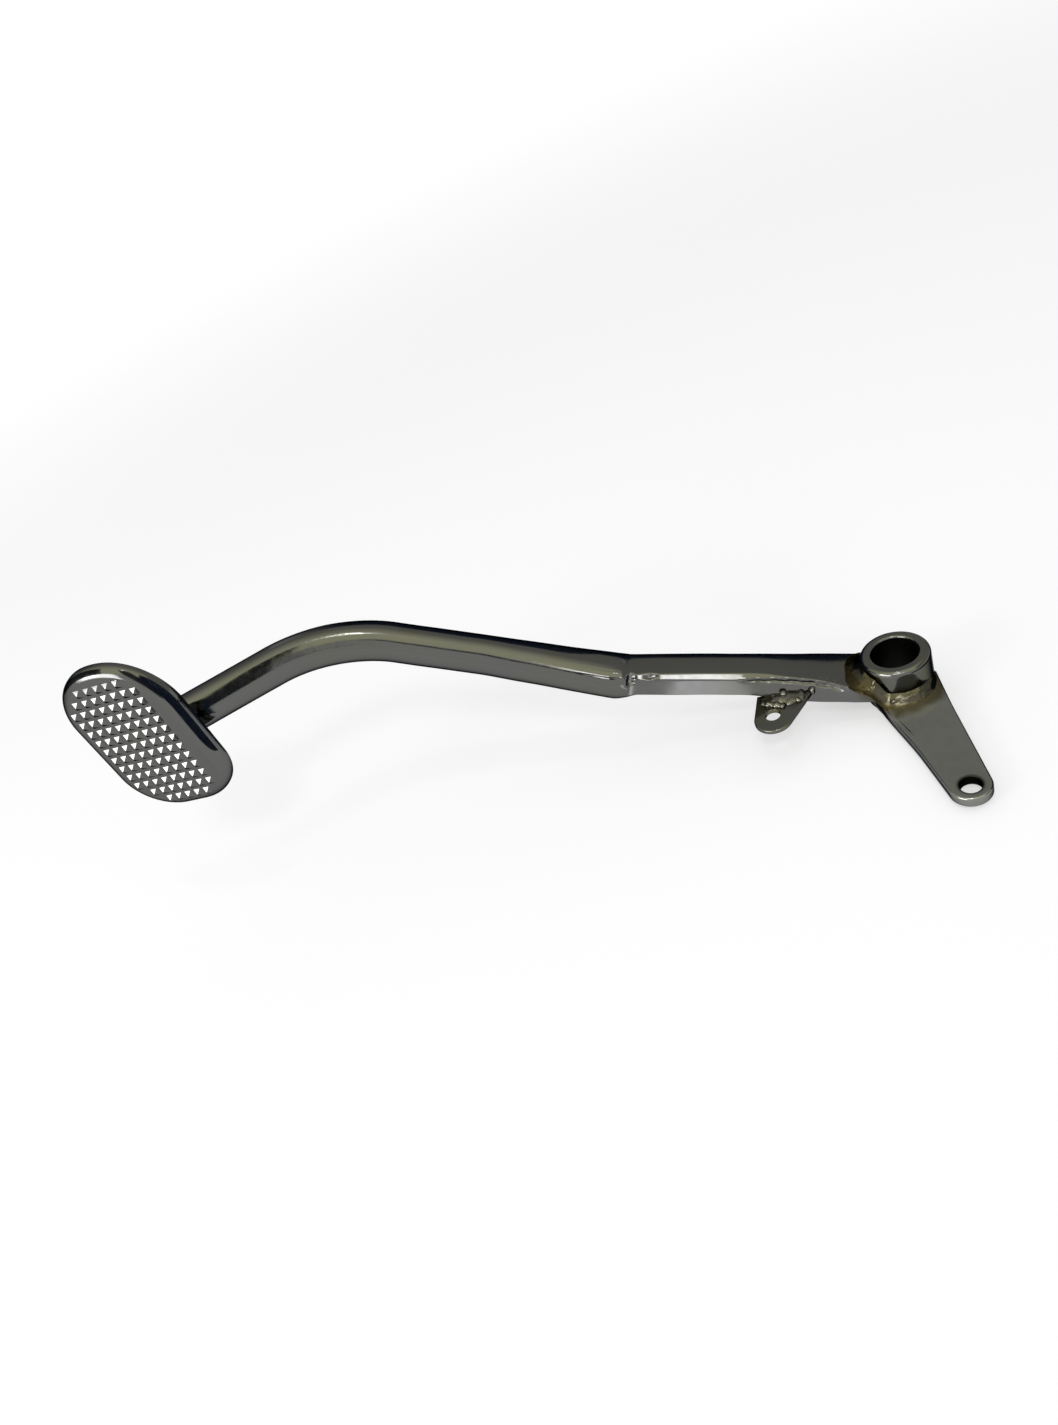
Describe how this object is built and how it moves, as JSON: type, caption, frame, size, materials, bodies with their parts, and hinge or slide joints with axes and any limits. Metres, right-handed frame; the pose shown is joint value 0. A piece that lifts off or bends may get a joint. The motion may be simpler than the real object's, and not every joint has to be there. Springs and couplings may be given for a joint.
{
  "type": "rear brake pedal",
  "caption": "Foot pedal for a motorbike brake: bent tube arm with a treaded pad at one end, and a pivot sleeve with a brake rod lever and a spring lug at the other.",
  "frame": {"origin": "middle of the pivot bore, on its axis", "axes": "+Z along the pivot bore towards the outside of the machine; the arm and foot pad lie towards -X; the tread, the brake rod lever and the spring lug look towards -Y"},
  "size_m": [0.3179, 0.0778, 0.1309],
  "materials": {
    "plated_steel": "bright plated steel",
    "plated_weld": "bright plated weld bead with brown heat tint"
  },
  "bodies": {
    "root": {"foot_pad": "plated_steel", "arm_tube": "plated_steel", "pivot_boss": "plated_steel", "lever_plate": "plated_steel", "spring_tab": "plated_steel", "boss_weld": "plated_weld", "tab_weld": "plated_weld", "pad_weld": "plated_weld"}
  },
  "joints": []
}
